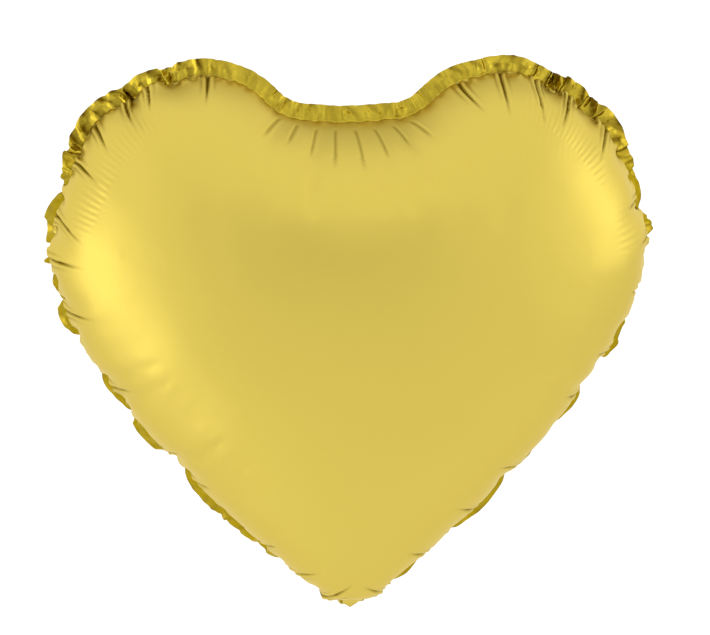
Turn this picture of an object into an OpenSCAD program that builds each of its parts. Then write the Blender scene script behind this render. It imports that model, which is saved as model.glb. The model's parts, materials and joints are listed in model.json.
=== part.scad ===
/* [Balloon] */
// Half width of the inflated heart at its widest, on the seam line
half_w = 172; // [150:1:190]
// Height of the widest level above the tip of the seam
widest_z = 217; // [200:1:230]
// Distance of each lobe's top from the middle
lobe_x = 86; // [76:1:92]
// Height of the lobes' tops above the tip of the seam
lobe_z = 313; // [300:1:325]
// Height of the notch between the lobes above the tip of the seam
notch_z = 286; // [278:1:292]
// Bulge of each side of the inflated heart from the seam plane
bulge = 97; // [80:1:110]
// Width of the heat-sealed rim outside the seam line
rim_w = 9; // [6:0.5:11]
// Wall of a foil sheet, drawn thicker than real foil
foil_t = 0.3; // [0.25:0.05:0.5]

/* [Neck] */
// Half width of the inflated tip where the side seams turn in to the neck
throat_half_w = 15; // [13:0.5:17]
// Height of that level above the tip of the seam
throat_z = 10; // [8:0.5:12]
// Height of the tip of the seam above the neck's fold
tip_z = 3; // [2.5:0.25:5]
// Width of the filling neck, side seams included
neck_w = 32; // [28:1:34]
// Width of the neck where it is gathered at its fold
gather_w = 9; // [7:0.5:12]
// Length of the gathered stretch, from the fold
gather_l = 24; // [18:1:26]
// Length of the filling neck from its fold to its open end
neck_l = 58; // [54:1:64]
// Radius of the neck's two free corners
neck_corner_r = 6; // [3:0.5:8]
// Angle of the folded neck from straight up, leaning back
neck_rest_angle = 74; // [66:1:85]
// Radius of the round filling hole in the neck's front foil and film
inlet_r = 4; // [3:0.25:5]
// Distance of the filling hole from the fold
inlet_from_fold = 40; // [34:1:44]

/* [Valve] */
// Width of the valve's two clear films
valve_w = 26; // [22:1:28]
// Wall of each valve film, drawn thicker than real film
valve_t = 0.2; // [0.15:0.05:0.25]
// Height that the valve films reach inside the heart, above the fold
valve_top_z = 145; // [110:5:160]

/* [Hidden] */

// Handles of the outline's three curves, which set how round each stretch is
throat_handle = [78, 70];
side_handle = 72;
widest_handle = 50;
lobe_outer_handle = 40;
lobe_inner_handle = 36;
notch_handle = 38;
// Share of the throat's height that the tip's edge has at half its width
throat_bow = 0.42;
// Steps along each of the three curves of one half of the outline
side_steps = 15;
lobe_steps = 8;
notch_steps = 8;
// Rings from the seam line to the crown
rings = 10;
// Centre from which the rings spread, above the tip of the seam
centre_z = 180;
// Radius of the round shape that the rings turn into towards the crown
crown_r = 135;
// How much thinner the body gets towards its tip, over what angle, and how soon
// that fades from the rim towards the crown
tip_thinning = 0.5;
tip_spread = 22;
thinning_fade = 6;
// Share of the rim's width that is lost to the gathers at the tip
tip_gather = 0.7;
// Space left between pieces that face each other
clear = 0.3;
// The neck's sheets begin this far from their fold line
fold_gap = 1.2;
// Width of the valve films where the neck is gathered
valve_root_w = gather_w - 2;

// Point at u on the cubic curve a, b, c, d
function curve(a, b, c, d, u) =
    pow(1 - u, 3) * a + 3 * pow(1 - u, 2) * u * b + 3 * (1 - u) * u * u * c + pow(u, 3) * d;

// Points along the cubic curve a, b, c, d without its last one
function curve_points(a, b, c, d, steps) =
    [for (i = [0 : steps - 1]) curve(a, b, c, d, i / steps)];

// Right half of the inflated seam line, from the tip up to the notch
half_outline = concat(
    [[0, 0], [throat_half_w / 2, throat_z * throat_bow]],
    curve_points(
        [throat_half_w, throat_z], [throat_half_w, throat_z] + throat_handle,
        [half_w, widest_z - side_handle], [half_w, widest_z], side_steps),
    curve_points(
        [half_w, widest_z], [half_w, widest_z + widest_handle],
        [lobe_x + lobe_outer_handle, lobe_z], [lobe_x, lobe_z], lobe_steps),
    curve_points(
        [lobe_x, lobe_z], [lobe_x - lobe_inner_handle, lobe_z],
        [notch_handle, notch_z], [0, notch_z], notch_steps),
    [[0, notch_z]]
);
last = len(half_outline) - 1;

// The whole seam line, anticlockwise from the tip
seam = concat(
    half_outline,
    [for (i = [last - 1 : -1 : 1]) [-half_outline[i].x, half_outline[i].y]]
);
n = len(seam);
centre = [0, centre_z];

function unit(v) = v / norm(v);

// Direction out of the outline at point i
function outward(i) =
    let (along = unit(seam[(i + 1) % n] - seam[(i + n - 1) % n])) [along.y, -along.x];

// 1 at the tip of the heart, falling to 0 round its sides
function near_tip(p) =
    let (turn = atan2(p.x, centre_z - p.y)) exp(-pow(turn / tip_spread, 2));

// Outer edge of the sealed rim at point i
function rim_edge(i) =
    seam[i] + outward(i) * rim_w * (1 - tip_gather * near_tip(seam[i]));

// Ring k of the dome, grown by the wall t: an ellipse from the seam line to the crown
function dome_ring(k, t) = [
    for (p = seam)
    let (
        lift = 90 * k / rings,
        out = cos(lift),
        thin = 1 - tip_thinning * near_tip(p) * pow(out, thinning_fade),
        reach = norm(p - centre),
        rounded = reach + (crown_r - reach) * pow(sin(lift), 2),
        q = centre + unit(p - centre) * (rounded + t) * out
    )
    [q.x, -(bulge + t) * sin(lift) * thin, q.y]
];

// A flat ring at the distance y in front of the seam plane
function flat_ring(points, y) = [for (p = points) [p.x, -y, p.y]];

// Triangles that join ring a to ring b, each a first index in the point list
function band(a, b) = [
    for (i = [0 : n - 1])
    let (j = (i + 1) % n)
    each [[a + i, a + j, b + j], [a + i, b + j, b + i]]
];

// Triangles that close ring a on the point at index tip
function cap(a, tip) = [for (i = [0 : n - 1]) [a + i, a + (i + 1) % n, tip]];

function flipped(faces) = [for (f = faces) [f.z, f.y, f.x]];

// One foil sheet: its dome and its half of the sealed rim, bulging towards -Y
module foil_sheet() {
    edge = [for (i = [0 : n - 1]) rim_edge(i)];
    step = [for (i = [0 : n - 1]) seam[i] + outward(i) * foil_t];
    outside = concat(
        flat_ring(edge, foil_t), flat_ring(step, foil_t),
        [for (k = [1 : rings - 1]) each dome_ring(k, foil_t)],
        [[0, -bulge - foil_t, centre_z]]
    );
    inside = concat(
        flat_ring(edge, 0), flat_ring(seam, 0),
        [for (k = [1 : rings - 1]) each dome_ring(k, 0)],
        [[0, -bulge, centre_z]]
    );
    first = len(outside);
    ring_count = rings + 1;
    outer_faces = concat(
        [for (k = [0 : ring_count - 2]) each band(k * n, (k + 1) * n)],
        cap((ring_count - 1) * n, ring_count * n)
    );
    inner_faces = [for (f = flipped(outer_faces)) f + [first, first, first]];
    polyhedron(concat(outside, inside), flipped(concat(outer_faces, inner_faces, band(first, 0))));
}

// Outline of a neck sheet from its gathered root at the fold to its open end
module neck_outline(width, root) {
    polygon([
        [-root / 2, fold_gap], [root / 2, fold_gap],
        [width / 2, gather_l], [-width / 2, gather_l]
    ]);
    translate([-width / 2, gather_l])
        square([width, neck_l - gather_l - neck_corner_r]);
    translate([-width / 2 + neck_corner_r, neck_l - 2 * neck_corner_r])
        square([width - 2 * neck_corner_r, 2 * neck_corner_r]);
    for (side = [-1, 1])
        translate([side * (width / 2 - neck_corner_r), neck_l - neck_corner_r])
            circle(r = neck_corner_r, $fn = 32);
}

// The same outline with the filling hole in it
module pierced_outline(width, root) {
    difference() {
        neck_outline(width, root);
        translate([0, inlet_from_fold])
            circle(r = inlet_r, $fn = 64);
    }
}

// Places a neck sheet folded up behind the heart, its far side at out_y from the neck's middle
module folded(out_y) {
    rotate([-neck_rest_angle, 0, 0])
        translate([0, out_y, 0])
            rotate([90, 0, 0])
                children();
}

// Outline of the valve films inside the heart, pointed to clear the seam at the tip
module valve_outline() {
    slope = throat_z / throat_half_w;
    side_z = tip_z + valve_w / 2 * slope + 2 * clear;
    polygon([
        [0, tip_z + 2 * clear], [valve_w / 2, side_z],
        [valve_w / 2, valve_top_z], [-valve_w / 2, valve_top_z],
        [-valve_w / 2, side_z]
    ]);
}

module front_foil() {
    color([0.82, 0.72, 0.30])
        translate([0, 0, tip_z])
            foil_sheet();
}

module back_foil() {
    color([0.76, 0.66, 0.27])
        translate([0, 0, tip_z])
            mirror([0, 1, 0])
                foil_sheet();
}

module valve_front_film() {
    color([0.85, 0.9, 0.95, 0.6])
        rotate([90, 0, 0])
            linear_extrude(valve_t)
                valve_outline();
}

module valve_back_film() {
    color([0.75, 0.85, 0.95, 0.6])
        translate([0, valve_t, 0])
            rotate([90, 0, 0])
                linear_extrude(valve_t)
                    valve_outline();
}

module neck_front_foil() {
    color([0.82, 0.72, 0.30])
        folded(valve_t + foil_t)
            linear_extrude(foil_t)
                pierced_outline(neck_w, gather_w);
}

module neck_back_foil() {
    color([0.76, 0.66, 0.27])
        folded(-valve_t)
            linear_extrude(foil_t)
                neck_outline(neck_w, gather_w);
}

module neck_valve_front_film() {
    color([0.85, 0.9, 0.95, 0.6])
        folded(valve_t)
            linear_extrude(valve_t)
                pierced_outline(valve_w, valve_root_w);
}

module neck_valve_back_film() {
    color([0.75, 0.85, 0.95, 0.6])
        folded(0)
            linear_extrude(valve_t)
                neck_outline(valve_w, valve_root_w);
}

front_foil();
back_foil();
valve_front_film();
valve_back_film();
neck_front_foil();
neck_back_foil();
neck_valve_front_film();
neck_valve_back_film();
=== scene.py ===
"""Heart-shaped foil balloon: two film sheets inflated by simulation, a filling neck and a film valve.

The flat pattern is cut in millimetres, x across and z up from its tip. Two simulations of film that
can't stretch blow it up: a coarse one finds the round shape, and a fine one, of both sheets and the
sealed rim, finds the puckers. The result is turned into metres and placed by the CAD frame.
"""
import json
import math

import bpy
import numpy as np
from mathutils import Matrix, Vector
from mathutils.bvhtree import BVHTree
from mathutils.geometry import delaunay_2d_cdt


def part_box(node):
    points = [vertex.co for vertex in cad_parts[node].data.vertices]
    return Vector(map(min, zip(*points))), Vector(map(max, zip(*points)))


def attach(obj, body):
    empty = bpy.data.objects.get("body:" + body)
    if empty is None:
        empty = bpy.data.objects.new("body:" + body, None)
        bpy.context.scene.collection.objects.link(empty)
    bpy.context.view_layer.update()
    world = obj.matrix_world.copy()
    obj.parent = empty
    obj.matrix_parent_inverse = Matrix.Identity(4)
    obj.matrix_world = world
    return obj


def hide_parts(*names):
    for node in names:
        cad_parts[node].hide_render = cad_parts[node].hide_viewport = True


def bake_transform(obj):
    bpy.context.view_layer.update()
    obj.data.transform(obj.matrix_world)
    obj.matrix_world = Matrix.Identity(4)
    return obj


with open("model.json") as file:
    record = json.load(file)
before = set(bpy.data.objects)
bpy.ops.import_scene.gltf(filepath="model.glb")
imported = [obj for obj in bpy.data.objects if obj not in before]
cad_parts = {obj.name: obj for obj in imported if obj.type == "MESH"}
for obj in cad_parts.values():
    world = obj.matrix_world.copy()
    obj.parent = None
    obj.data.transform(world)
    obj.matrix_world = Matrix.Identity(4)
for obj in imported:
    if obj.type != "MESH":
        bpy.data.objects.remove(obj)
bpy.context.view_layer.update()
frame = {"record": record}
scene = bpy.context.scene
MM = 0.001

# ---- Flat pattern, in millimetres ----

THROAT = np.array((18.0, 9.5))          # where the side seams turn in to the neck
THROAT_HANDLE = np.array((93.0, 43.0))
WIDEST = np.array((213.5, 259.0))
SIDE_HANDLE = 97.0
WIDEST_HANDLE = 9.0
LOBE = np.array((89.0, 390.5))
LOBE_OUTER_HANDLE = 104.0
LOBE_INNER_HANDLE = 39.0
NOTCH = np.array((0.0, 381.5))
NOTCH_HANDLE = 55.0
TIP_BOW = np.array((9.0, 4.2))          # the tip's edge halfway to the throat
RIM_W = 10.0
TIP_RIM_SHARE = 0.2                     # share of the rim's width that is left at the tip
TIP_RIM_REACH = 26.0
TIP_HELD = 12.0                         # the seam is held in its plane this near the tip

# Where the front sheet's main creases meet the seam, as shares of each half of it from tip to notch
LEFT_CREASES = (0.04, 0.085, 0.13, 0.225, 0.28, 0.37, 0.47, 0.535, 0.59, 0.655, 0.70, 0.74, 0.78, 0.85)
RIGHT_CREASES = (0.05, 0.115, 0.185, 0.255, 0.35, 0.415, 0.49, 0.56, 0.605, 0.69, 0.75, 0.80, 0.84, 0.885)

# ---- Simulation ----

COARSE_SPACING = 8.0
COARSE_STEPS = 800
COARSE_PRESSURE = 0.0008
COARSE_DAMPING = 0.96
COARSE_EASE = (0.75, 0.25)              # after this share of the steps, the pressure drops to this share
START_WIDTH = 0.80                      # shares of the flat size that the coarse sheet starts with
START_HEIGHT = 0.86
START_BULGE = 5.0
FINE_SPACING = 2.1
FINE_STEPS = 560
FINE_PRESSURE = 0.0004
FINE_EASE = (0.8, 0.4)                  # as COARSE_EASE
# How far in from the seam each band of the mesh reaches, and its spacing as a share of the finest
FINE_BANDS = ((54, 1.0), (80, 1.7), (105, 2.7), (math.inf, 4.6))
DAMPING = 0.97
FILM_SLACK = 0.02                       # how far an edge gives before it resists being pushed, as a share
RIM_SLACK = 0.02
RIM_BEND = 0.35                         # how sharply the rim may fold along its length
PUSH = 0.5                              # how strongly an edge then resists
PUSH_RAMP = 0.3                         # share of the steps over which that grows to its full strength
SEAM_WAVE = 0.14                        # how far the seam swings, as a share of the space between creases
SEAM_REACH = 10.0                       # how far in from the seam its swing is felt
CREASE_DEPTH = 0.08
CREASE_REACH = 14.0
CREASE_SHARPNESS = 8
CREASE_MEAN = 0.15                      # taken off, so that film between creases rises a little
WIDEST_GAP = 45.0                       # the swing grows no more once creases are this far apart
FILM_NOISE = 0.04
RIM_NOISE = 0.15
NOISE_REACH = 30.0
NOTCH_CALM = 0.90                       # no creases past this share of the way to the notch
NOTCH_CALM_FADE = 0.06
TIP_CALM = 0.03                         # creases fade in over this share of the way from the tip
SMOOTH_EVERY = 10                       # steps from one smoothing of the film to the next
SMOOTH_SHARE = 0.3
SMOOTH_FROM = 5.0                       # the film is smoothed in full this far in from the seam
SMOOTH_END = 120.0                      # and not at all this far in
SMOOTH_STOP = 0.9                       # share of the steps after which it isn't smoothed any more
IRON_STEPS = 40                         # smoothing after the last step, which takes wrinkles out
IRON_SHARE = 0.5
IRON_FROM = 5.0                         # film nearer the seam than this keeps its wrinkles
IRON_FULL = 18.0
IRON_END = 75.0
RUFFLE_LENGTHS = (9.0, 12.0, 17.0, 26.0)
RUFFLE_HEIGHT = 0.9
RUFFLE_CALM = 0.1                       # share of the ruffle that is left at the tip and the notch
RIM_ROWS = 5
RIM_SWING = 0.3                         # share of the seam's swing that the rim starts with besides
RIM_TOP_LEAN = 1.5                      # how far the rim leans back along the top
RIM_LOW_LEAN = 8.6                      # and on the sides
LEAN_MIDDLE = 0.93                      # on the sides it comes and goes about this share of its full lean
LEAN_SWING = 0.07                       # by this share
LEAN_SWINGS = 8
LEAN_TOP = 0.74                         # share of the way to the notch where the rim begins to lean more
LEAN_FADE = 0.14
RIM_STEADY = 0.012                      # share of the way to its lean that the rim's edge goes in a step
random = np.random.default_rng(4)


def smoothstep(t):
    """0 below 0, 1 above 1 and smooth between."""
    t = np.clip(t, 0, 1)
    return t * t * (3 - 2 * t)


def bump(t):
    """A bell of height 1 and width 1 at 0."""
    return np.exp(-t * t)


def curve(a, b, c, d, steps=60):
    """Points along a cubic curve without its last one."""
    t = np.linspace(0, 1, steps, endpoint=False)[:, None]
    return (1 - t) ** 3 * a + 3 * (1 - t) ** 2 * t * b + 3 * (1 - t) * t * t * c + t ** 3 * d


def flat_outline():
    """The flat seam line, anticlockwise from the tip."""
    across = np.array((1.0, 0.0))
    up = np.array((0.0, 1.0))
    side = curve(THROAT, THROAT + THROAT_HANDLE, WIDEST - up * SIDE_HANDLE, WIDEST)
    lobe = curve(WIDEST, WIDEST + up * WIDEST_HANDLE, LOBE + across * LOBE_OUTER_HANDLE, LOBE)
    notch = curve(LOBE, LOBE - across * LOBE_INNER_HANDLE, NOTCH + across * NOTCH_HANDLE, NOTCH)
    right = np.vstack([[(0, 0), TIP_BOW], side, lobe, notch, [NOTCH]])
    return np.vstack([right, right[1:-1][::-1] * (-1, 1)])


def resampled(outline, spacing):
    """Even points along a closed outline, an even number of them, from its first point."""
    closed = np.vstack([outline, outline[:1]])
    along = np.r_[0, np.cumsum(np.linalg.norm(np.diff(closed, axis=0), axis=1))]
    count = 2 * round(along[-1] / 2 / spacing)
    wanted = np.linspace(0, along[-1], count, endpoint=False)
    return np.stack([np.interp(wanted, along, closed[:, k]) for k in (0, 1)], 1)


def in_parts(points, size=1500):
    """The points in parts small enough to compare each with a whole outline at once."""
    return np.array_split(points, len(points) // size + 1)


def is_inside(points, outline):
    """True for each point inside a closed outline."""
    a = outline
    b = np.roll(outline, -1, 0)
    rise = np.where(b[:, 1] == a[:, 1], 1e-9, b[:, 1] - a[:, 1])
    slope = (b[:, 0] - a[:, 0]) / rise
    found = []
    for part in in_parts(points):
        x, z = part[:, :1], part[:, 1:]
        crosses = ((a[:, 1] > z) != (b[:, 1] > z)) & (x < slope * (z - a[:, 1]) + a[:, 0])
        found.append(crosses.sum(1) % 2 == 1)
    return np.concatenate(found)


def nearest_on(outline, points):
    """Each point's distance to a closed outline, and where that is, as an index with a fraction."""
    side = np.roll(outline, -1, 0) - outline
    length2 = (side * side).sum(1)
    away = []
    place = []
    for part in in_parts(points):
        x = part[:, :1] - outline[:, 0]
        z = part[:, 1:] - outline[:, 1]
        t = np.clip((x * side[:, 0] + z * side[:, 1]) / length2, 0, 1)
        gap = (x - t * side[:, 0]) ** 2 + (z - t * side[:, 1]) ** 2
        i = gap.argmin(1)
        row = np.arange(len(i))
        away.append(np.sqrt(gap[row, i]))
        place.append(i + t[row, i])
    return np.concatenate(away), np.concatenate(place)


def lattice(spacing, low, high):
    """Rows of points in a triangular grid, the same on the left and the right of x = 0."""
    half = int(max(abs(low[0]), abs(high[0])) / spacing) + 2
    row = spacing * math.sqrt(3) / 2
    rows = int((high[1] - low[1]) / row) + 2
    across = np.arange(-half, half + 1) * spacing
    return np.vstack([
        np.stack([across + spacing / 2 * (j % 2), np.full(len(across), low[1] + j * row)], 1)
        for j in range(rows)
    ])


def triangulated(outline, points):
    """Triangles over a closed outline and the points inside it, anticlockwise in the flat."""
    flat = np.vstack([outline, points])
    ring = list(range(len(outline)))
    found = delaunay_2d_cdt([Vector(p) for p in flat], [], [ring], 1, 1e-6)
    faces = np.array(found[2])
    corner = flat[faces]
    turn = np.cross(corner[:, 1] - corner[:, 0], corner[:, 2] - corner[:, 0])
    faces[turn < 0] = faces[turn < 0][:, ::-1]
    return flat, faces


def filled(outline, bands):
    """Lattice points inside an outline, in bands of (how far in the band ends, its spacing)."""
    kept = []
    start = 0.6 * bands[0][1]
    for end, spacing in bands:
        points = lattice(spacing, outline.min(0), outline.max(0))
        away, _ = nearest_on(outline, points)
        points = points[(away > start) & (away <= end)]
        kept.append(points[is_inside(points, outline)])
        start = end + 0.3 * spacing
    return np.vstack(kept)


def edges_of(faces):
    """Every edge of a triangle mesh once."""
    return np.unique(np.sort(np.vstack([faces[:, [0, 1]], faces[:, [1, 2]], faces[:, [2, 0]]]), 1), axis=0)


def coloured(edges, count):
    """Edges in groups in which no two share a point, so that a group can be solved at once."""
    used = [0] * count
    colour = np.empty(len(edges), int)
    for k, (a, b) in enumerate(edges.tolist()):
        taken = used[a] | used[b]
        free = ~taken & (taken + 1)
        colour[k] = free.bit_length() - 1
        used[a] |= free
        used[b] |= free
    return [np.where(colour == c)[0] for c in range(colour.max() + 1)]


def normals_of(points, faces):
    """Unit normals at the points of a triangle mesh."""
    a, b, c = (points[faces[:, k]] for k in range(3))
    across = np.cross(b - a, c - a)
    index = faces.ravel(order="F")
    total = [np.bincount(index, np.tile(across[:, k], 3), len(points)) for k in range(3)]
    total = np.stack(total, 1)
    return total / np.maximum(np.linalg.norm(total, axis=1), 1e-9)[:, None]


def lengths_of(points, edges):
    return np.linalg.norm(points[edges[:, 0]] - points[edges[:, 1]], axis=1)


class Film:
    """A net of points and edges that can't stretch. An edge gives to its slack and then resists a push."""

    LOAD_EVERY = 4                      # steps for which the gas's push is used before it's worked out again

    def __init__(self, points, edges, lengths, faces, slack, drift=(1, 1, 1)):
        self.x = points.copy()
        self.v = np.zeros_like(points)
        self.faces = faces
        self.drift = np.array(drift, float)
        self.count = 0
        self.groups = [
            (edges[g, 0], edges[g, 1], lengths[g], lengths[g] * (1 - slack[g]))
            for g in coloured(edges, len(points))
        ]

    def load(self):
        """The gas pushes each face outward with its area, shared by its corners."""
        a, b, c = (self.x[self.faces[:, k]] for k in range(3))
        push = np.cross(b - a, c - a) / 6
        index = self.faces.ravel(order="F")
        total = [np.bincount(index, np.tile(push[:, k], 3), len(self.x)) for k in range(3)]
        return np.stack(total, 1)

    def step(self, pressure, damping, push=0.0, hold=None):
        """Moves every point on, then draws each edge back to its limits and applies what is held."""
        if self.count % self.LOAD_EVERY == 0:
            self.force = self.load()
        self.count += 1
        self.v = (self.v + pressure * self.force) * damping
        old = self.x.copy()
        x = self.x + self.v
        for i, j, longest, shortest in self.groups:
            d = x[i] - x[j]
            length = np.sqrt(np.einsum("ij,ij->i", d, d))
            change = np.maximum(length - longest, 0) + push * np.minimum(length - shortest, 0)
            d *= (change / (2 * length + 1e-9))[:, None]
            x[i] -= d
            x[j] += d
        if hold is not None:
            hold(x)
        self.x = x
        self.v = x - old
        self.v -= self.v.mean(0) * self.drift

    def smooth(self, edges, share):
        """Moves each point towards the middle of its neighbours by its share."""
        a, b = edges.T
        count = len(self.x)
        near = [np.bincount(a, self.x[b, k], count) + np.bincount(b, self.x[a, k], count) for k in range(3)]
        degree = np.bincount(edges.ravel(), minlength=count)
        self.x += (np.stack(near, 1) / degree[:, None] - self.x) * share[:, None]


def coarse_front():
    """Inflates a coarse front sheet with its seam held in the plane y = 0."""
    seam = resampled(flat_outline(), COARSE_SPACING)
    flat, faces = triangulated(seam, filled(seam, [(math.inf, COARSE_SPACING)]))
    away, _ = nearest_on(seam, flat)
    start = np.stack([flat[:, 0] * START_WIDTH, -START_BULGE * np.sqrt(away), flat[:, 1] * START_HEIGHT], 1)
    edges = edges_of(faces)
    film = Film(start, edges, lengths_of(flat, edges), faces, np.zeros(len(edges)), drift=(1, 0, 1))

    def seam_in_plane(x):
        x[: len(seam), 1] = 0

    ease_at, eased = COARSE_EASE
    for k in range(COARSE_STEPS):
        pressure = COARSE_PRESSURE * (1 if k < ease_at * COARSE_STEPS else eased)
        film.step(pressure / COARSE_SPACING, COARSE_DAMPING, hold=seam_in_plane)
    x = film.x
    x[:, 0] -= x[: len(seam), 0].mean()
    x[:, 2] -= x[: len(seam), 2].min()
    return flat, faces, x


def carried(flat, coarse_flat, coarse_faces, coarse_points):
    """Places flat points on the coarse inflated sheet."""
    tree = BVHTree.FromPolygons([(x, z, 0) for x, z in coarse_flat], coarse_faces.tolist())
    placed = np.empty((len(flat), 3))
    for k, (x, z) in enumerate(flat):
        at, _, face, _ = tree.find_nearest(Vector((x, z, 0)))
        corner = coarse_faces[face]
        a, b, c = coarse_flat[corner]
        share = np.linalg.solve(np.stack([b - a, c - a], 1), np.array(at[:2]) - a)
        weight = np.array((1 - share.sum(), share[0], share[1]))
        placed[k] = weight @ coarse_points[corner]
    return placed


def sampled(values, place):
    """Values along the closed seam at places given as an index with a fraction."""
    i = np.floor(place).astype(int)
    t = (place - i).reshape((-1,) + (1,) * (values.ndim - 1))
    return values[i % len(values)] * (1 - t) + values[(i + 1) % len(values)] * t


def crease_places():
    """Where the front sheet's main creases meet the seam, as shares of the whole seam from the tip."""
    return np.array(sorted([s / 2 for s in RIGHT_CREASES] + [1 - s / 2 for s in LEFT_CREASES]))


def crease_wave(count, perimeter):
    """Along the seam: its swing's phase, whole at a front crease, and the space between creases."""
    along = np.arange(count) / count
    at = crease_places()
    at = np.r_[at[-1] - 1, at, at[0] + 1]
    phase = np.interp(along, at, np.arange(-1.0, len(at) - 1))
    gap = np.interp(along, (at[1:] + at[:-1]) / 2, np.diff(at)) * perimeter
    share = 1 - np.abs(1 - 2 * along)
    calm = smoothstep((NOTCH_CALM - share) / NOTCH_CALM_FADE) * np.clip(share / TIP_CALM, 0, 1)
    return phase, np.minimum(gap, WIDEST_GAP), calm


def ruffle(count, perimeter):
    """Seeded waves along the rim, of height 1 or so."""
    along = np.arange(count) / count * 2 * math.pi
    waves = [np.sin(round(perimeter / w) * along + random.uniform(0, 2 * math.pi)) for w in RUFFLE_LENGTHS]
    return np.sum(waves, axis=0)


def outward_of(ring):
    """Unit vectors out of a closed ring of (x, z) points."""
    along = np.roll(ring, -1, 0) - np.roll(ring, 1, 0)
    along /= np.linalg.norm(along, axis=1)[:, None]
    return np.stack([along[:, 1], -along[:, 0]], 1)


def rim_faces(rings):
    """Triangles between neighbouring rings of the rim, with their diagonals alternating."""
    faces = []
    for k, (a, b) in enumerate(zip(rings, rings[1:])):
        a1 = np.roll(a, -1)
        b1 = np.roll(b, -1)
        even = ((np.arange(len(a)) + k) % 2 == 0)[:, None]
        faces.append(np.where(even, np.stack([a, a1, b], 1), np.stack([a, a1, b1], 1)))
        faces.append(np.where(even, np.stack([a1, b1, b], 1), np.stack([a, b1, b], 1)))
    return np.vstack(faces)


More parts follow.
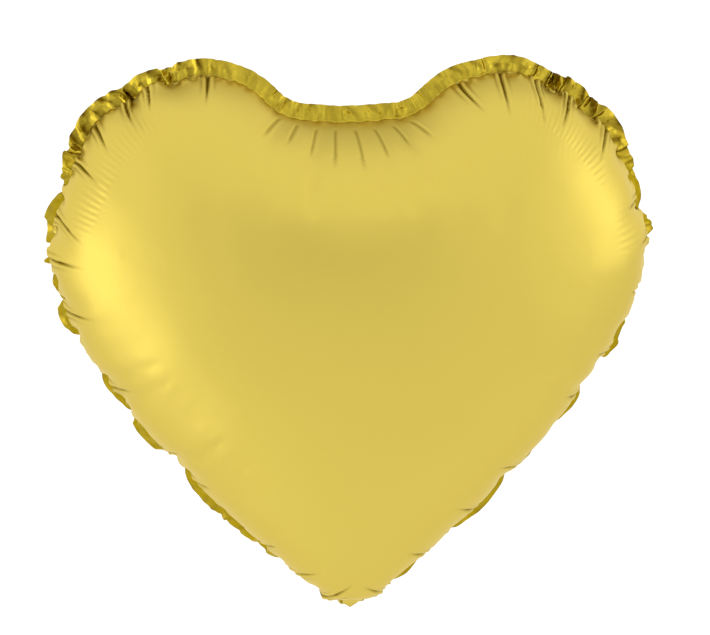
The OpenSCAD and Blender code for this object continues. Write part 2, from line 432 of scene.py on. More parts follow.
def inflated():
    """Both sheets and the rim, inflated and puckered.

    Points are in the order seam, front, back, rim rings. Gives the points, the flat place of each, its
    distance in from the seam (negative on the rim), its place along the seam, and the three face lists.
    """
    coarse = coarse_front()
    seam = resampled(flat_outline(), FINE_SPACING)
    n = len(seam)
    flat, faces = triangulated(seam, filled(seam, [(end, k * FINE_SPACING) for end, k in FINE_BANDS]))
    placed = carried(flat, *coarse)
    away, place = nearest_on(seam, flat)
    ring = np.arange(n)
    perimeter = lengths_of(seam, np.stack([ring, np.roll(ring, -1)], 1)).sum()
    phase, gap, calm = crease_wave(n, perimeter)
    swing = SEAM_WAVE * gap * np.cos(2 * math.pi * phase) * calm
    normal = normals_of(placed, faces)
    if normal[:, 1].mean() > 0:
        normal = -normal
    local_phase = sampled(phase, np.minimum(place, n - 1.0))
    depth = CREASE_DEPTH * sampled(gap * calm, place) * bump(away / CREASE_REACH)
    side_swing = sampled(swing, place) * np.exp(-away / SEAM_REACH)
    sheets = []
    for facing, shift in ((1, 0), (-1, 0.5)):
        valley = ((1 + np.cos(2 * math.pi * (local_phase + shift))) / 2) ** CREASE_SHARPNESS
        sheet = placed - normal * ((valley - CREASE_MEAN) * depth)[:, None]
        sheet[:, 1] *= facing
        sheet[:, 1] += side_swing
        sheet += random.normal(0, FILM_NOISE, sheet.shape) * np.exp(-away / NOISE_REACH)[:, None]
        sheets.append(sheet)
    front, back = sheets
    line = front[:n].copy()
    line[:, 1] = swing

    share = ring / n
    from_tip = np.minimum(share, 1 - share) * perimeter
    width = RIM_W * (1 - (1 - TIP_RIM_SHARE) * bump(from_tip / TIP_RIM_REACH))
    flat_out = outward_of(seam)
    out = outward_of(line[:, [0, 2]])
    out = np.stack([out[:, 0], 0 * share, out[:, 1]], 1)
    wave = RUFFLE_HEIGHT * ruffle(n, perimeter) * (RUFFLE_CALM + (1 - RUFFLE_CALM) * calm)
    rows = RIM_ROWS
    shares = [(k + 1) / rows for k in range(rows)]
    flat_rings = [seam + flat_out * (width * s)[:, None] for s in shares]
    rings = []
    for s in shares:
        rim_ring = line + out * (width * s)[:, None] + random.normal(0, RIM_NOISE, (n, 3))
        rim_ring[:, 1] += (RIM_SWING * swing + wave) * s
        rings.append(rim_ring)

    inner = len(flat) - n
    x = np.vstack([line, front[n:], back[n:]] + rings)
    laid = np.vstack([seam, flat[n:], flat[n:]] + flat_rings)
    twin = np.r_[np.arange(n), len(flat) + np.arange(inner)]
    front_faces = faces[:, ::-1]
    back_faces = twin[faces]
    if normals_of(x, front_faces)[n:len(flat), 1].mean() > 0:
        front_faces = front_faces[:, ::-1]
        back_faces = back_faces[:, ::-1]
    ring_index = [np.arange(n)] + [len(flat) + inner + k * n + np.arange(n) for k in range(rows)]
    rim = rim_faces(ring_index)

    domes = np.vstack([front_faces, back_faces])
    edges = edges_of(np.vstack([domes, rim]))
    slack = np.where(edges.max(1) >= len(flat) + inner, RIM_SLACK, FILM_SLACK)
    struts = [np.stack([a, b], 1) for k, a in enumerate(ring_index) for b in ring_index[k + 2:]]
    folds = [np.stack([a, np.roll(a, -2)], 1) for a in ring_index]
    every = np.vstack([edges] + struts + folds)
    slack = np.r_[slack, np.full(n * len(struts), RIM_SLACK), np.full(n * len(folds), RIM_BEND)]
    film = Film(x, every, lengths_of(laid, every), domes, slack)

    away = np.r_[away, away[n:], -np.tile(width, rows) * np.repeat(shares, n)]
    place = np.r_[place, place[n:], np.tile(np.arange(n, dtype=float), rows)]
    smoothing = SMOOTH_SHARE * np.clip(1 - away / SMOOTH_END, 0, 1) * smoothstep(away / SMOOTH_FROM)
    held = np.minimum(place, n - place) * FINE_SPACING < TIP_HELD
    held &= away <= 0

    half_share = 1 - np.abs(1 - 2 * share)
    swinging = np.cos(2 * math.pi * half_share * LEAN_SWINGS)
    low_lean = RIM_LOW_LEAN * (LEAN_MIDDLE + LEAN_SWING * swinging)
    lean = RIM_TOP_LEAN + (low_lean - RIM_TOP_LEAN) * smoothstep((LEAN_TOP - half_share) / LEAN_FADE)
    lean *= width / RIM_W

    def steadied(points):
        points[held, 1] = 0
        points[-n:, 1] += RIM_STEADY * (lean - points[-n:, 1] + points[:n, 1])

    ease_at, eased = FINE_EASE
    for k in range(FINE_STEPS):
        pressure = FINE_PRESSURE * (1 if k < ease_at * FINE_STEPS else eased) / FINE_SPACING
        ramp = min(1, (k + 1) / (PUSH_RAMP * FINE_STEPS))
        film.step(pressure, DAMPING, PUSH * ramp, steadied)
        if k % SMOOTH_EVERY == 0 and k < SMOOTH_STOP * FINE_STEPS:
            film.smooth(edges, smoothing)
    ironing = IRON_SHARE * smoothstep((away - IRON_FROM) / (IRON_FULL - IRON_FROM))
    ironing *= np.clip(1 - away / IRON_END, 0, 1)
    for _ in range(IRON_STEPS):
        film.smooth(edges, ironing)
    x = film.x
    x[:, 0] -= (x[:n, 0].max() + x[:n, 0].min()) / 2
    x[:, 1] -= x[0, 1]
    x[:, 2] -= x[0, 2]
    return x, laid, away, place / n, front_faces, back_faces, rim


def subdivided(points, faces):
    """One step of Loop's subdivision: each triangle becomes four and the surface gets smoother."""
    pairs = np.vstack([faces[:, [1, 2]], faces[:, [2, 0]], faces[:, [0, 1]]])
    edges, index, uses = np.unique(np.sort(pairs, 1), axis=0, return_inverse=True, return_counts=True)
    index = index.reshape(3, -1).T
    a, b = edges.T
    wide = range(points.shape[1])
    count = len(points)
    corners = [points[faces[:, k]] for k in range(3)]
    opposite = np.stack([
        sum(np.bincount(index[:, k], corners[k][:, c], len(edges)) for k in range(3)) for c in wide
    ], 1)
    inner = (uses == 2)[:, None]
    middle = np.where(inner, 0.375 * (points[a] + points[b]) + 0.125 * opposite, (points[a] + points[b]) / 2)

    def neighbours(keep):
        p, q = edges[keep].T
        total = [np.bincount(p, points[q, c], count) + np.bincount(q, points[p, c], count) for c in wide]
        degree = np.bincount(edges[keep].ravel(), minlength=count)
        return np.stack(total, 1), degree[:, None]

    total, degree = neighbours(np.ones(len(edges), bool))
    border_total, border_degree = neighbours(uses == 1)
    moved = 0.625 * points + 0.375 * total / np.maximum(degree, 1)
    moved = np.where(border_degree > 0, 0.75 * points + 0.125 * border_total, moved)
    i, j, k = (count + index[:, c] for c in range(3))
    p, q, r = faces.T
    parts = [(p, k, j), (k, q, i), (j, i, r), (i, j, k)]
    return np.vstack([moved, middle]), np.vstack([np.stack(t, 1) for t in parts])


# ---- The folded neck's place, from the frame ----

hole_mount = next(m for m in frame["record"]["mounts"] if m["name"] == "filling_hole")
hole_at = np.array(hole_mount["pos_m"])
hole_r = hole_mount["dims"]["r_mm"]
neck_out = np.array(hole_mount["axis"])
neck_along = np.array((0, -neck_out[2], neck_out[1]))
hole_down = float(hole_at @ neck_along) / MM
neck_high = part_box("neck_back_foil")[1]
neck_length = neck_high.y / neck_along[1] / MM
NECK_SLOPE = neck_along[2] / neck_along[1]
NECK_HALF = neck_high.x / MM
VALVE_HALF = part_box("neck_valve_back_film")[1].x / MM
ROOT_HALF = 4.5                         # half the width that the neck is gathered to at its fold
GATHER = 24.0                           # length of its gathered stretch

# ---- Sheets ----

LAYER_GAP = 0.08                        # half the space between the two layers of the rim

NOTCH_FOLDS = 8
NOTCH_FOLD_SPACING = 11.7
NOTCH_FOLD_START = 18.0
NOTCH_FOLD_LENGTH = 46.0
NOTCH_FOLD_FAN = 0.55                   # degrees of lean for each millimetre from the middle
NOTCH_FOLD_SHIFT = -4.0
NOTCH_FOLD_DEPTH = 0.55
NOTCH_FOLD_WIDTH = 1.0
NOTCH_FOLDS_REACH = 41.0                # how far from the middle the outermost fold is, rounded
NOTCH_FOLD_SHORTER = 0.2                # share of its length that a fold that far out lacks
NOTCH_FOLD_VARIES = 0.12
NOTCH_FOLD_FADE_IN = 5.0
NOTCH_FOLD_FADE_OUT = 12.0
NOTCH_BEND = 0.0035                     # how fast the seam rises on both sides of the notch, per millimetre
NOTCH_RIDGE = 0.3                       # height of the ridge beside a fold, and its place in fold widths
NOTCH_RIDGE_AT = 2.2

RIPPLE_SPACING = 5.2
RIPPLE_HEIGHT = 0.34
RIPPLE_FROM = 26.0
RIPPLE_TO = 72.0
RIPPLE_STRETCH = (0.52, 0.86)           # shares of the way to the notch where they begin and end

CREASE_LINE_DEPTH = 2.0
CREASE_LINE_WIDTH = 1.0
CREASE_LINE_END = 50.0
CREASE_LINE_FADE = 0.7                  # share of a line over which it fades out
CREASE_LINE_CURVE = 0.0025
# The lines of one crease: offset in millimetres, then depth and length as shares of the main line's
CREASE_LINES = ((0.0, 1.0, 1.0), (4.2, 0.35, 0.85), (-4.8, 0.25, 0.7))
LINE_RIDGE = 0.2                        # height, place and width of the ridge on each side of a crease line
LINE_RIDGE_AT = 2.8
LINE_RIDGE_WIDTH = 1.6
GROOVE_START = 1.5                      # grooves fade in over this distance from the seam

NECK_ROOM = 1.8                         # room left for the folded neck's thickness
PRESSED_ROOT = 12.0                     # half width of the film that the neck's gathered root presses flat
PRESSED_HALF = 24.0                     # and that the rest of the neck does
PRESSED_FADE = 6.0
PRESSED_FROM = 2.0

# Painted shade: how dark places are painted, where 1 is the foil's colour times the painted fold shade
# colour
RIM_SHADE = 0.75                        # in the rim's hollows
SEAM_SHADE = 0.5                        # along the seam
LOW_SHADE = 0.4                         # added for the rim low on the sides
FACET_SHADE = 0.4                       # and for every second facet of the crushed rim
SHADED_DEPTH = 1.1                      # a fold this deep is at its darkest

CRUMPLE_MIDDLE = (5.0, 1.5)             # spacing and height of the rim's crushed folds along its middle
CRUMPLE_EDGE = (7.0, 2.4)               # and along its edge
CRUMPLE_NIBBLE = (7.0, 0.9)             # and of the nibbles that its edge is drawn in by
CRUMPLE_LEAN = 5.0                      # how far a crushed fold leans along the rim, at most
CRUMPLE_LEAN_SPACING = 13.0
CRUMPLE_NOTCH = 0.4                     # share of the crumpling that is left at the notch
CRUMPLE_LOW = 0.15                      # and low on the sides
CRUMPLE_FROM = 0.62                     # share of the way to the notch where the crumpling begins to grow
CRUMPLE_FADE = 0.08


def notch_folds(laid):
    """Depth of the narrow folds that fan out below the notch, at flat places."""
    depth = np.zeros(len(laid))
    for k in range(NOTCH_FOLDS):
        x = (k - (NOTCH_FOLDS - 1) / 2) * NOTCH_FOLD_SPACING
        lean = math.radians(x * NOTCH_FOLD_FAN)
        shorter = NOTCH_FOLD_SHORTER * abs(x) / NOTCH_FOLDS_REACH
        length = NOTCH_FOLD_LENGTH * (1 - shorter) * (1 + NOTCH_FOLD_VARIES * math.sin(5 * k))
        start = np.array((x + NOTCH_FOLD_SHIFT, NOTCH[1] + NOTCH_BEND * x * x - NOTCH_FOLD_START))
        way = np.array((math.sin(lean), -math.cos(lean)))
        from_start = laid - start
        along = from_start @ way
        across = from_start @ np.array((way[1], -way[0]))
        window = smoothstep(along / NOTCH_FOLD_FADE_IN) * smoothstep((length - along) / NOTCH_FOLD_FADE_OUT)
        groove = bump(across / NOTCH_FOLD_WIDTH)
        ridge = bump((np.abs(across) - NOTCH_RIDGE_AT * NOTCH_FOLD_WIDTH) / NOTCH_FOLD_WIDTH)
        depth += window * NOTCH_FOLD_DEPTH * (groove - NOTCH_RIDGE * ridge)
    return depth


def crease_lines(away, share, perimeter, side):
    """Depth of the sharp lines that a sheet's main creases end in. The back's lie between the front's."""
    depth = np.zeros(len(away))
    places = crease_places()
    if side > 0:
        middles = (places[1:] + places[:-1]) / 2
        places = middles[np.abs(middles - 0.5) > (1 - NOTCH_CALM) / 2]
    for k, at in enumerate(places):
        way = 1 if at < 0.5 else -1
        lean = way * CREASE_LINE_CURVE * (1 + math.sin(3 * k))
        main_end = CREASE_LINE_END * (0.9 + 0.2 * math.sin(7 * k))
        for offset, depth_share, length_share in CREASE_LINES:
            across = (share - at) * perimeter + lean * away * away - offset
            end = main_end * length_share
            window = smoothstep(away / GROOVE_START) * smoothstep((end - away) / (CREASE_LINE_FADE * end))
            ridge = bump((np.abs(across) - LINE_RIDGE_AT) / LINE_RIDGE_WIDTH)
            line = bump(across / CREASE_LINE_WIDTH) - LINE_RIDGE * ridge
            depth += window * depth_share * CREASE_LINE_DEPTH * line
    return depth


def shoulder_ripples(away, share, perimeter):
    """Fine parallel ripples round the outer side of each lobe."""
    half = 1 - np.abs(1 - 2 * share)
    begin, end = RIPPLE_STRETCH
    zone = smoothstep((half - begin) / 0.08) * smoothstep((end - half) / 0.08)
    zone *= smoothstep((away - RIPPLE_FROM) / 14) * smoothstep((RIPPLE_TO - away) / 25)
    along = share * perimeter
    drift = 1.3 * np.sin(along / 23) + 0.9 * np.sin(along / 9.7 + away / 17)
    patch = 0.55 + 0.45 * np.sin(along / 31 + 1.0) * np.sin(away / 13 + along / 19)
    return zone * patch * RIPPLE_HEIGHT * np.sin(2 * math.pi * along / RIPPLE_SPACING + drift)


def neck_lift(points, origin):
    """How far the film beside the tip is pressed up by the neck folded against it, in front or behind."""
    across, out = np.abs(points[:, :2]).T
    short = NECK_SLOPE * out + NECK_ROOM - origin[2] / MM - points[:, 2]
    half = PRESSED_ROOT + (PRESSED_HALF - PRESSED_ROOT) * np.clip(out / GATHER, 0, 1)
    share = smoothstep((half - across) / PRESSED_FADE) * smoothstep((out - PRESSED_FROM) / 5)
    return share * (short + np.sqrt(short ** 2 + 1)) / 2


def new_mesh(name, points, faces, materials, material_index=None, shade=None):
    """A smooth-shaded mesh object from points in metres."""
    mesh = bpy.data.meshes.new(name)
    mesh.from_pydata(points.tolist(), [], faces.tolist())
    mesh.polygons.foreach_set("use_smooth", np.ones(len(mesh.polygons), bool))
    for material in materials:
        mesh.materials.append(material)
    if material_index is not None:
        mesh.polygons.foreach_set("material_index", material_index.astype(np.int32))
    if shade is not None:
        mesh.attributes.new("fold_shade", "FLOAT", "POINT").data.foreach_set("value", shade)
    mesh.update()
    thing = bpy.data.objects.new(name, mesh)
    scene.collection.objects.link(thing)
    return thing


def compacted(points, faces):
    """Only the points that the faces use."""
    used, index = np.unique(faces, return_inverse=True)
    return used, index.reshape(faces.shape)


def zigzag(perimeter, spacing, height):
    """Places of crushed folds along the rim and their heights, up and down in turn."""
    folds = [0.0]
    while folds[-1] < perimeter - 1.5 * spacing:
        folds.append(folds[-1] + spacing * random.uniform(0.5, 1.5))
    folds.append(perimeter)
    heights = random.uniform(0.4, 1.0, len(folds)) * height
    heights[1::2] *= -1
    heights[-1] = heights[0]
    return np.array(folds), heights


def crumple_calm(share):
    """How much of the crumpling the rim has at a place: least at the notch and low on the sides."""
    half = 1 - np.abs(1 - 2 * share)
    at_top = CRUMPLE_NOTCH + (1 - CRUMPLE_NOTCH) * smoothstep((NOTCH_CALM - 0.02 - half) / NOTCH_CALM_FADE)
    grown = smoothstep((half - CRUMPLE_FROM) / CRUMPLE_FADE)
    return at_top * (CRUMPLE_LOW + (1 - CRUMPLE_LOW) * grown)


def nibbled(balloon, perimeter):
    """The balloon with its rim's edge drawn in unevenly."""
    x = balloon[0].copy()
    rim = balloon[-1]
    n = len(rim) // (2 * RIM_ROWS)
    share = np.arange(n) / n
    folds, heights = zigzag(perimeter, *CRUMPLE_NIBBLE)
    nibble = crumple_calm(share) * np.abs(np.interp(share * perimeter, folds, heights))
    seam = x[:n]
    for k in range(RIM_ROWS):
        ring = slice(len(x) - (RIM_ROWS - k) * n, len(x) - (RIM_ROWS - k - 1) * n)
        inward = seam - x[ring]
        inward /= np.linalg.norm(inward, axis=1)[:, None]
        x[ring] += inward * (nibble * (k + 1) / RIM_ROWS)[:, None]
    return (x,) + balloon[1:]


def sheet_mesh(balloon, folds, side, origin, perimeter):
    """One sheet, its dome and its layer of the rim: points in metres, faces, which are rim, and painted
    shade.

    folds holds the crushed folds along the rim's middle and its edge. side is -1 in front and 1 behind.
    """
    x, laid, away, share, front_faces, back_faces, rim = balloon
    dome = front_faces if side < 0 else back_faces
    ring_size = len(rim) // (2 * RIM_ROWS)
    rim_normal = normals_of(x, rim)
    facing = side * np.sign(rim_normal[:, 1].mean())
    layer = x.copy()
    parted = away < 0
    parted[-ring_size:] = False
    layer[parted] += facing * LAYER_GAP * rim_normal[parted]
    faces = np.vstack([dome, rim if facing > 0 else rim[:, ::-1]])
    used, faces = compacted(layer, faces)
    # The place along the seam jumps from 1 to 0 at the tip, so it is carried as a turn
    turn = 2 * math.pi * share[used]
    out_share = np.zeros(len(x))
    out_share[-ring_size * RIM_ROWS:] = np.repeat(np.arange(1, RIM_ROWS + 1) / RIM_ROWS, ring_size)
    data = np.column_stack([
        layer[used], laid[used], away[used], np.cos(turn), np.sin(turn), out_share[used], rim_normal[used]
    ])
    is_rim = np.r_[np.zeros(len(dome), bool), np.ones(len(rim), bool)]
    data, faces = subdivided(data, faces)
    is_rim = np.tile(is_rim, 4)
    points, laid, away, out_share = data[:, :3], data[:, 3:5], data[:, 5], data[:, 8]
    share = np.arctan2(data[:, 7], data[:, 6]) / (2 * math.pi) % 1
    (middle_folds, middle_heights), (edge_folds, edge_heights) = folds
    along = share * perimeter
    along += CRUMPLE_LEAN * out_share * np.sin(along / CRUMPLE_LEAN_SPACING)
    crumple = np.interp(along, middle_folds, middle_heights) * np.minimum(2 * out_share, 2 - 2 * out_share)
    crumple += np.interp(along, edge_folds, edge_heights) * np.maximum(0, 2 * out_share - 1)
    crumple *= crumple_calm(share) * (out_share > 0)
    rim_normal = data[:, 9:]
    rim_normal = rim_normal / np.maximum(np.linalg.norm(rim_normal, axis=1), 0.5)[:, None]
    is_edge = out_share > 0.5
    # Painted shade: the rim's hollows, every second crushed facet, the rim low on the sides and the seam are
    # painted darker
    facet = np.where(is_edge, np.searchsorted(edge_folds, along), np.searchsorted(middle_folds, along)) % 2
    low = smoothstep((LEAN_TOP - 1 + np.abs(1 - 2 * share)) / 0.1)
    rim_shade = RIM_SHADE * np.clip(-crumple, 0, 1) * (out_share > 0)
    rim_shade += FACET_SHADE * facet * crumple_calm(share) * (out_share > 0)
    rim_shade += LOW_SHADE * low * (out_share > 0)
    rim_shade += SEAM_SHADE * bump(away / 1.0) * crumple_calm(share)
    groove = notch_folds(laid) + crease_lines(away, share, perimeter, side)
    groove *= smoothstep(away / GROOVE_START)
    depth = groove - shoulder_ripples(away, share, perimeter)
    points = points - normals_of(points, faces) * depth[:, None] + rim_normal * crumple[:, None]
    points[:, 2] += neck_lift(points, origin)
    # Painted shade: grooves are painted darker by their depth, on top of the rim's painted shade
    shade = np.clip(rim_shade + np.maximum(groove, 0) / SHADED_DEPTH, 0, 1)
    return points * MM + origin, faces, is_rim, shade


# ---- Neck ----

NECK_UP = 2.5                           # how far the neck's sheets reach up over the heart's tip
PLEATS = 5
PLEAT_HEIGHT = 0.8
PLEAT_START = 5.0                       # pleats grow over this length, and fade out from PLEAT_FADE on
PLEAT_FADE = 6.0
SEAL_W = 3.0                            # width of the neck's sealed sides
LAYER_ROOM = 0.1                        # space between layers where they are sealed
PUFF = 0.7                              # and how much more there is between the seals
PUFF_LENGTH = 30.0
WAVE_HEIGHT = 0.35
CURL = 3.0                              # how far the open end curls away from the heart
CORNER_R = 6.0
NECK_SPACING = 1.2
FOLD_DIP = 2.8                          # how far the neck's fold hangs below its hinge, in a point
FOLD_DIP_LENGTH = 2.0


def neck_outline(half, length):
    """Flat outline of a neck sheet: x across and z along it from the fold."""
    turn = np.radians(np.arange(0, 91, 9))
    corner = np.stack([np.cos(turn), np.sin(turn)], 1) * CORNER_R
    right = corner + (half - CORNER_R, length - CORNER_R)
    outline = np.vstack([[(-half, -NECK_UP), (half, -NECK_UP)], right, right[::-1] * (-1, 1)])
    return resampled(outline, NECK_SPACING)


def neck_sheet(half, root_half, length, layer, hole):
    """Points in metres and faces of one neck sheet. layer is its place in the stack, -1 to 1."""
    outline = neck_outline(half, length)
    points = lattice(NECK_SPACING, outline.min(0), outline.max(0))
    points = points[is_inside(points, outline)]
    away, _ = nearest_on(outline, points)
    points = points[away > 0.6 * NECK_SPACING]
    if hole:
        centre, radius = hole
        points = points[np.linalg.norm(points - centre, axis=1) > radius + 0.6 * NECK_SPACING]
        turn = np.radians(np.arange(0, 360, 12))
        points = np.vstack([points, centre + radius * np.stack([np.cos(turn), np.sin(turn)], 1)])
    flat, faces = triangulated(outline, points)
    if hole:
        middle = flat[faces].mean(1)
        faces = faces[np.linalg.norm(middle - centre, axis=1) > radius * 0.99]
    across, along = flat.T
    down = np.maximum(along, 0)
    open_share = smoothstep(down / GATHER)
    width_share = root_half / half + (1 - root_half / half) * open_share
    x = across * width_share
    pleat_share = smoothstep(down / PLEAT_START) * (1 - smoothstep((down - PLEAT_FADE) / (GATHER + 4)))
    pleat = PLEAT_HEIGHT * pleat_share * np.sin(2 * math.pi * PLEATS * across / (2 * NECK_HALF))
    sealed = np.clip(1 - (across / (NECK_HALF - SEAL_W)) ** 2, 0, 1)
    puff = LAYER_ROOM + PUFF * sealed * smoothstep(down / PUFF_LENGTH)
    wave = WAVE_HEIGHT * np.sin(down / 6.5 + across / 11) * smoothstep(down / 25)
    off = layer * puff + pleat + wave + CURL * (down / length) ** 3
    folded = neck_along[None] * down[:, None] + neck_out[None] * off[:, None]
    risen = np.maximum(-along, 0)
    points = np.stack([x, folded[:, 1], folded[:, 2] + risen], 1)
    above = along < 0
    points[above, 1] = -layer * 0.3
    pointed = np.clip(1 - np.abs(x) / ROOT_HALF, 0, 1)
    points[:, 2] -= FOLD_DIP * pointed * bump(along / FOLD_DIP_LENGTH)
    return points * MM, faces


# ---- Materials ----

def node(tree, kind, **settings):
    made = tree.nodes.new(kind)
    for name, value in settings.items():
        setattr(made, name, value)
    return made


FOLD_SHADE_COLOUR = (0.20, 0.15, 0.05)          # painted shade: what the foil's colour is multiplied by deep in a fold
COAT_ROUGHNESS = 0.42
ROUGHNESS_SWING = 0.05                  # how far the mottling moves the roughness up and down
GRAIN_SCALE = 900
GRAIN_DEPTH = 0.0002
EDGE_TINT = (0.84, 0.72, 0.34)          # and by where it's seen almost edge-on


def foil_material(name, light, dark, mottling, roughness, grain, coat):
    """Metallised film: a satin metal with faint mottling, fine rolling grain, soft bump and painted shade in
    its folds.
    """
    material = bpy.data.materials.new(name)
    material.use_nodes = True
    tree = material.node_tree
    link = tree.links.new
    shader = tree.nodes["Principled BSDF"]
    shader.inputs["Metallic"].default_value = 1.0
    shader.inputs["Coat Roughness"].default_value = COAT_ROUGHNESS
    shader.inputs["Specular Tint"].default_value = (*EDGE_TINT, 1)
    place = node(tree, "ShaderNodeTexCoord")
    cloud = node(tree, "ShaderNodeTexNoise")
    cloud.inputs["Scale"].default_value = mottling
    cloud.inputs["Detail"].default_value = 3
    link(place.outputs["Object"], cloud.inputs["Vector"])
    tint = node(tree, "ShaderNodeMixRGB")
    tint.inputs["Color1"].default_value = (*dark, 1)
    tint.inputs["Color2"].default_value = (*light, 1)
    link(cloud.outputs["Fac"], tint.inputs["Fac"])
    # Painted shade: the fold_shade attribute darkens the colour towards the painted fold shade colour and
    # takes the coat off
    fold = node(tree, "ShaderNodeAttribute", attribute_name="fold_shade")
    shaded = node(tree, "ShaderNodeMixRGB", blend_type="MULTIPLY")
    shaded.inputs["Color2"].default_value = (*FOLD_SHADE_COLOUR, 1)
    link(fold.outputs["Fac"], shaded.inputs["Fac"])
    link(tint.outputs["Color"], shaded.inputs["Color1"])
    coat_out_of_shade = node(tree, "ShaderNodeMapRange")
    coat_out_of_shade.inputs["To Min"].default_value = coat
    coat_out_of_shade.inputs["To Max"].default_value = 0.0
    link(fold.outputs["Fac"], coat_out_of_shade.inputs["Value"])
    link(coat_out_of_shade.outputs["Result"], shader.inputs["Coat Weight"])
    link(shaded.outputs["Color"], shader.inputs["Base Color"])
    fine = node(tree, "ShaderNodeTexNoise")
    fine.inputs["Scale"].default_value = GRAIN_SCALE
    fine.inputs["Detail"].default_value = 2
    link(place.outputs["Object"], fine.inputs["Vector"])
    gloss = node(tree, "ShaderNodeMapRange")
    gloss.inputs["To Min"].default_value = roughness - ROUGHNESS_SWING
    gloss.inputs["To Max"].default_value = roughness + ROUGHNESS_SWING
    link(cloud.outputs["Fac"], gloss.inputs["Value"])
    link(gloss.outputs["Result"], shader.inputs["Roughness"])
    relief = node(tree, "ShaderNodeBump")
    relief.inputs["Strength"].default_value = grain
    relief.inputs["Distance"].default_value = GRAIN_DEPTH
    link(fine.outputs["Fac"], relief.inputs["Height"])
    link(relief.outputs["Normal"], shader.inputs["Normal"])
    return material


def film_material():
    """Clear valve film with a little haze."""
    material = bpy.data.materials.new("clear_film")
    material.use_nodes = True
    tree = material.node_tree
    shader = tree.nodes["Principled BSDF"]
    shader.inputs["Base Color"].default_value = (0.9, 0.94, 0.97, 1)
    shader.inputs["Alpha"].default_value = 0.35
    shader.inputs["Coat Weight"].default_value = 0.6
    haze = node(tree, "ShaderNodeTexNoise")
    haze.inputs["Scale"].default_value = 60
    gloss = node(tree, "ShaderNodeMapRange")
    gloss.inputs["To Min"].default_value = 0.12
    gloss.inputs["To Max"].default_value = 0.3
    tree.links.new(haze.outputs["Fac"], gloss.inputs["Value"])
    tree.links.new(gloss.outputs["Result"], shader.inputs["Roughness"])
    return material


GOLD = (0.57, 0.442, 0.066)
GOLD_DARK = (0.54, 0.417, 0.06)
RIM_GOLD = (0.66, 0.50, 0.045)
RIM_GOLD_DARK = (0.34, 0.25, 0.012)
satin = foil_material(
    "satin_gold_foil", GOLD, GOLD_DARK, mottling=14, roughness=0.42, grain=0.25, coat=0.45)
sealed = foil_material(
    "sealed_gold_rim", RIM_GOLD, RIM_GOLD_DARK, mottling=70, roughness=0.2, grain=0.35, coat=0.1)
clear_film = film_material()

# ---- The heart ----

seam_length = np.linalg.norm(np.diff(flat_outline(), axis=0), axis=1).sum()
balloon = inflated()
balloon = nibbled(balloon, seam_length)
rim_folds = [zigzag(seam_length, *settings) for settings in (CRUMPLE_MIDDLE, CRUMPLE_EDGE)]
tip_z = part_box("valve_front_film")[0].z
tip = np.array((0, 0, tip_z))
front_points, front_faces, front_rim, front_shade = sheet_mesh(balloon, rim_folds, -1, tip, seam_length)
back_points, back_faces, back_rim, back_shade = sheet_mesh(balloon, rim_folds, 1, tip, seam_length)
front = new_mesh("front_foil_sheet", front_points, front_faces, [satin, sealed], front_rim, front_shade)
back = new_mesh("back_foil_sheet", back_points, back_faces, [satin, sealed], back_rim, back_shade)
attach(front, "heart")
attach(back, "heart")
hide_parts("front_foil")
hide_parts("back_foil")

# ---- The valve films inside the heart ----

VALVE_ROWS = 60
VALVE_COLUMNS = 12


def valve_sheet(name, cad_node, side):
    """One clear film inside the heart, gently waved, on its side of the seam plane."""
    low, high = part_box(cad_node)
    points = []
    for r in range(VALVE_ROWS + 1):
        t = r / VALVE_ROWS
        z = low.z + (high.z - low.z) * t
        half = high.x * min(1, 0.35 + 6 * t)
        for c in range(VALVE_COLUMNS + 1):
            s = 2 * c / VALVE_COLUMNS - 1
            wave = 0.0012 * t * math.sin(9 * t + 1.5 * s) + 0.0008 * t * math.sin(21 * t + 3 * s)
            gap = 0.00012 + 0.0006 * (1 - s * s) * t
            points.append((s * half, wave + side * gap, z))
    row = VALVE_COLUMNS + 1
    faces = [
        (r * row + c, r * row + c + 1, (r + 1) * row + c + 1, (r + 1) * row + c)
        for r in range(VALVE_ROWS)
        for c in range(VALVE_COLUMNS)
    ]
    film = new_mesh(name, np.array(points), np.array(faces), [clear_film])
    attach(film, "heart")
    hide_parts(cad_node)


valve_sheet("valve_front_clear_film", "valve_front_film", -1)
valve_sheet("valve_back_clear_film", "valve_back_film", 1)

# ---- The neck ----


def neck_piece(name, cad_node, half, layer, pierced, material):
    """One layer of the neck, bending between the heart and the neck at the fold."""
    hole = (np.array((0, hole_down)), hole_r) if pierced else None
    root = ROOT_HALF * half / NECK_HALF
    points, faces = neck_sheet(half, root, neck_length, layer, hole)
    piece = new_mesh(name, points, faces, [material])
    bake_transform(piece)
    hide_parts(cad_node)


neck_piece("neck_front_sheet", "neck_front_foil", NECK_HALF, 1, True, satin)
neck_piece("neck_back_sheet", "neck_back_foil", NECK_HALF, -1, False, satin)
neck_piece("neck_front_clear_film", "neck_valve_front_film", VALVE_HALF, 0.4, True, clear_film)
neck_piece("neck_back_clear_film", "neck_valve_back_film", VALVE_HALF, -0.4, False, clear_film)

# ---- Floor, light and camera ----

VIEW_AZIMUTH = math.radians(-4)
VIEW_ELEVATION = math.radians(10)
VIEW_DISTANCE = 1.8
FRAME_WIDTH = 0.412                     # what the picture's width shows at the balloon, in metres
LOOK_AT = Vector((0.003, 0, 0.171))
FLOOR_DROP = 0.9
WORLD_STRENGTH = 1.35
DARK_ZONES = (                          # towards, cosines at its edge and core, and brightness
    ((0, 0.8, 0.6), 0.86, 0.98, 0.62),      # high up behind the balloon
    ((0, -0.98, 0.2), 0.75, 0.98, 0.72),    # round the camera
)


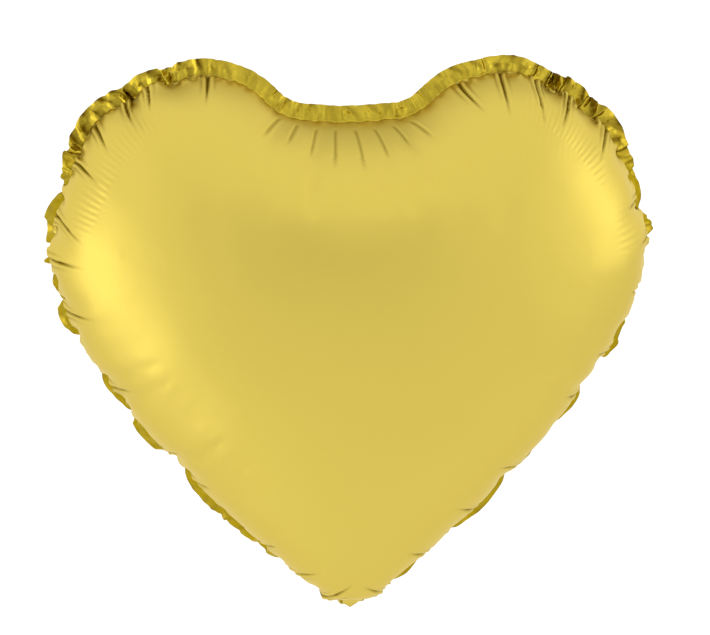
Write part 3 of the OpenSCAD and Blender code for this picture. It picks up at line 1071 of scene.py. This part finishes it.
def studio():
    world = bpy.data.worlds.new("studio")
    world.use_nodes = True
    tree = world.node_tree
    background = tree.nodes["Background"]
    background.inputs["Strength"].default_value = WORLD_STRENGTH
    way = node(tree, "ShaderNodeTexCoord")
    colour = None
    for towards, edge, core, level in DARK_ZONES:
        match = node(tree, "ShaderNodeVectorMath", operation="DOT_PRODUCT")
        match.inputs[1].default_value = towards
        fade = node(tree, "ShaderNodeMapRange", interpolation_type="SMOOTHSTEP")
        fade.inputs["From Min"].default_value = edge
        fade.inputs["From Max"].default_value = core
        tint = node(tree, "ShaderNodeMixRGB", blend_type="MULTIPLY")
        tint.inputs["Color1"].default_value = (1, 1, 1, 1)
        tint.inputs["Color2"].default_value = (level, level, level, 1)
        tree.links.new(way.outputs["Generated"], match.inputs[0])
        tree.links.new(match.outputs["Value"], fade.inputs["Value"])
        tree.links.new(fade.outputs["Result"], tint.inputs["Fac"])
        if colour:
            tree.links.new(colour, tint.inputs["Color1"])
        colour = tint.outputs["Color"]
    tree.links.new(colour, background.inputs["Color"])
    scene.world = world
    scene.view_settings.view_transform = "Standard"
    bpy.ops.mesh.primitive_plane_add(size=30, location=(0, 0, -FLOOR_DROP))
    floor = bpy.context.object
    floor.name = "floor"
    paint = bpy.data.materials.new("pale_floor")
    paint.use_nodes = True
    paint.node_tree.nodes["Principled BSDF"].inputs["Base Color"].default_value = (0.94, 0.94, 0.94, 1)
    paint.node_tree.nodes["Principled BSDF"].inputs["Roughness"].default_value = 0.8
    floor.data.materials.append(paint)


def softbox(name, place, width, height, power):
    """A soft light panel at a place, turned to the balloon."""
    light = bpy.data.lights.new(name, "AREA")
    light.shape = "RECTANGLE"
    light.size = width
    light.size_y = height
    light.energy = power
    lamp = bpy.data.objects.new(name, light)
    lamp.location = place
    lamp.rotation_euler = (LOOK_AT - Vector(place)).to_track_quat("-Z", "Y").to_euler()
    scene.collection.objects.link(lamp)


def camera():
    data = bpy.data.cameras.new("camera")
    data.sensor_width = 36
    data.lens = VIEW_DISTANCE / FRAME_WIDTH * data.sensor_width
    eye = bpy.data.objects.new("camera", data)
    level = math.cos(VIEW_ELEVATION)
    away = Vector((
        math.sin(VIEW_AZIMUTH) * level,
        -math.cos(VIEW_AZIMUTH) * level,
        math.sin(VIEW_ELEVATION),
    ))
    eye.location = LOOK_AT + away * VIEW_DISTANCE
    eye.rotation_euler = (-away).to_track_quat("-Z", "Y").to_euler()
    scene.collection.objects.link(eye)
    scene.camera = eye


studio()
softbox("left_softbox", (-1.75, -0.45, -0.1), 1.5, 1.5, 8)
softbox("right_softbox", (1.6, -0.2, 0.6), 1.1, 1.3, 4)
camera()
